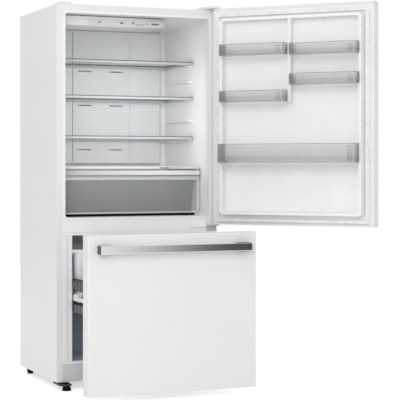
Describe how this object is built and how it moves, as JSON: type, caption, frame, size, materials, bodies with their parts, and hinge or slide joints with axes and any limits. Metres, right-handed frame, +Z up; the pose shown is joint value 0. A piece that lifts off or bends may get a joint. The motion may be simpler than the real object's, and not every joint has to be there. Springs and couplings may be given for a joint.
{
  "type": "bottom-freezer refrigerator",
  "caption": "Upright fridge over a pull-out freezer drawer: hinged door with bins, sliding shelves, crisper, telescopic freezer rails and rear cooling unit.",
  "frame": {"origin": "on the floor under the middle of the cabinet", "axes": "+Z up, -Y out of the cabinet's front, +X to the right seen from the front"},
  "size_m": [1.3365, 1.2364, 1.7643],
  "materials": {
    "white_enamel": "smooth baked enamel, slight orange peel",
    "galvanised_sheet": "zinc-coated sheet",
    "liner_white": "vacuum-formed polystyrene",
    "freezer_grey": "vacuum-formed polystyrene",
    "duct_white": "moulded, satin",
    "housing_grey": "fine grain moulding",
    "display_strip": "printed film",
    "frosted_lens": "frosted",
    "shelf_glass": "toughened float glass",
    "shelf_trim": "moulded rim",
    "crisper_white": "moulded",
    "clear_bin": "clear moulding",
    "smoke_bin": "smoke-tinted clear moulding",
    "slider_dark": "moulded",
    "gasket_grey": "soft PVC",
    "foam_cream": "rigid foam",
    "bar_metal": "fine brushed along the bar",
    "hinge_steel": "zinc-plated, painted",
    "cover_white": "moulded",
    "fin_aluminium": "mill finish",
    "compressor_black": "black enamel",
    "motor_grey": "moulded",
    "fan_white": "moulded",
    "pan_black": "moulded",
    "rail_zinc": "zinc-plated strip",
    "frame_white": "powder coat",
    "basket_white": "moulded",
    "foot_black": "moulded"
  },
  "bodies": {
    "cabinet": {"cabinet_shell": "white_enamel", "back_panel": "galvanised_sheet", "base_pan": "galvanised_sheet", "insulation_foam": "foam_cream", "fridge_liner": "liner_white", "freezer_liner": "freezer_grey", "mullion_cover": "white_enamel", "air_duct_panel": "duct_white", "control_housing": "housing_grey", "control_panel": "display_strip", "lamp_lens": "frosted_lens", "evaporator_cover": "duct_white", "evaporator_coil": "fin_aluminium", "evaporator_fan_motor": "motor_grey", "compressor": "compressor_black", "condenser_coil": "compressor_black", "condenser_shroud": "motor_grey", "drain_pan": "pan_black", "machine_cover": "galvanised_sheet", "top_hinge": "hinge_steel", "middle_hinge": "hinge_steel", "hinge_covers": "cover_white", "rails_fixed": "rail_zinc", "crisper_cover": "crisper_white", "crisper_glass": "shelf_glass"},
    "fridge_door": {"door_skin": "white_enamel", "door_liner": "liner_white", "door_foam": "foam_cream", "door_end_caps": "cover_white", "door_gasket": "gasket_grey", "door_handle": "bar_metal", "hinge_side_bin_1": "smoke_bin", "hinge_side_bin_2": "smoke_bin", "latch_side_bin_1": "smoke_bin", "latch_side_bin_2": "smoke_bin", "gallon_bin": "smoke_bin"},
    "freezer_drawer": {"drawer_skin": "white_enamel", "drawer_liner": "liner_white", "drawer_foam": "foam_cream", "drawer_gasket": "gasket_grey", "drawer_handle": "bar_metal", "basket_frame": "frame_white", "freezer_basket": "basket_white"},
    "middle_rails": {"rails_middle": "rail_zinc"},
    "drawer_shaft": {"pinion_shaft": "rail_zinc"},
    "freezer_upper_basket": {"upper_basket": "basket_white"},
    "crisper": {"crisper_drawer": "clear_bin"},
    "humidity_control": {"humidity_slider": "slider_dark"},
    "shelf_1": {"shelf_glass_1": "shelf_glass", "shelf_rim_1": "shelf_trim"},
    "shelf_2": {"shelf_glass_2": "shelf_glass", "shelf_rim_2": "shelf_trim"},
    "shelf_3": {"shelf_glass_3": "shelf_glass", "shelf_rim_3": "shelf_trim"},
    "freezer_fan": {"evaporator_fan": "fan_white"},
    "machine_fan": {"condenser_fan": "fan_white"},
    "left_leg": {"leg_left": "foot_black"},
    "right_leg": {"leg_right": "foot_black"},
    "left_roller": {"roller_left": "foot_black"},
    "right_roller": {"roller_right": "foot_black"}
  },
  "joints": [
    {"name": "door_hinge", "type": "hinge", "parent": "cabinet", "child": "fridge_door", "pos_m": [0.384, -0.329, 1.245], "axis": [0, 0, 1], "range_deg": [-131.8, 3.2]},
    {"name": "drawer_slide", "type": "slide", "parent": "cabinet", "child": "freezer_drawer", "axis": [0, -1, 0], "range_m": [-0.36, 0.08]},
    {"name": "middle_rail_slide", "type": "slide", "parent": "cabinet", "child": "middle_rails", "axis": [0, -1, 0], "range_m": [-0.18, 0.04]},
    {"name": "pinion_turn", "type": "hinge", "parent": "freezer_drawer", "child": "drawer_shaft", "pos_m": [0, -0.254, 0.41275], "axis": [1, 0, 0], "range_deg": [-1375.6, 306.08]},
    {"name": "upper_basket_slide", "type": "slide", "parent": "cabinet", "child": "freezer_upper_basket", "axis": [0, -1, 0], "range_m": [0, 0.3]},
    {"name": "crisper_slide", "type": "slide", "parent": "cabinet", "child": "crisper", "axis": [0, -1, 0], "range_m": [0, 0.34]},
    {"name": "humidity_slide", "type": "slide", "parent": "cabinet", "child": "humidity_control", "axis": [1, 0, 0], "range_m": [0, 0.06]},
    {"name": "shelf_1_slide", "type": "slide", "parent": "cabinet", "child": "shelf_1", "axis": [0, -1, 0], "range_m": [0, 0.28]},
    {"name": "shelf_2_slide", "type": "slide", "parent": "cabinet", "child": "shelf_2", "axis": [0, -1, 0], "range_m": [0, 0.28]},
    {"name": "shelf_3_slide", "type": "slide", "parent": "cabinet", "child": "shelf_3", "axis": [0, -1, 0], "range_m": [0, 0.28]},
    {"name": "freezer_fan_turn", "type": "hinge", "parent": "cabinet", "child": "freezer_fan", "pos_m": [0, 0.173, 0.602], "axis": [0, 1, 0], "continuous": true},
    {"name": "machine_fan_turn", "type": "hinge", "parent": "cabinet", "child": "machine_fan", "pos_m": [-0.07, 0.212, 0.1282], "axis": [1, 0, 0], "continuous": true},
    {"name": "left_leg_turn", "type": "hinge", "parent": "cabinet", "child": "left_leg", "pos_m": [-0.355, -0.321, 0.01], "axis": [0, 0, 1], "range_deg": [-1080, 1080]},
    {"name": "right_leg_turn", "type": "hinge", "parent": "cabinet", "child": "right_leg", "pos_m": [0.355, -0.321, 0.01], "axis": [0, 0, 1], "range_deg": [-1080, 1080]},
    {"name": "left_roller_turn", "type": "hinge", "parent": "cabinet", "child": "left_roller", "pos_m": [-0.361, 0.237, 0.016], "axis": [1, 0, 0], "continuous": true},
    {"name": "right_roller_turn", "type": "hinge", "parent": "cabinet", "child": "right_roller", "pos_m": [0.361, 0.237, 0.016], "axis": [1, 0, 0], "continuous": true}
  ],
  "couplings": [
    {"joint": "middle_rail_slide", "follows": "drawer_slide", "ratio": 0.5},
    {"joint": "pinion_turn", "follows": "drawer_slide", "rad_per_m": 66.667}
  ]
}
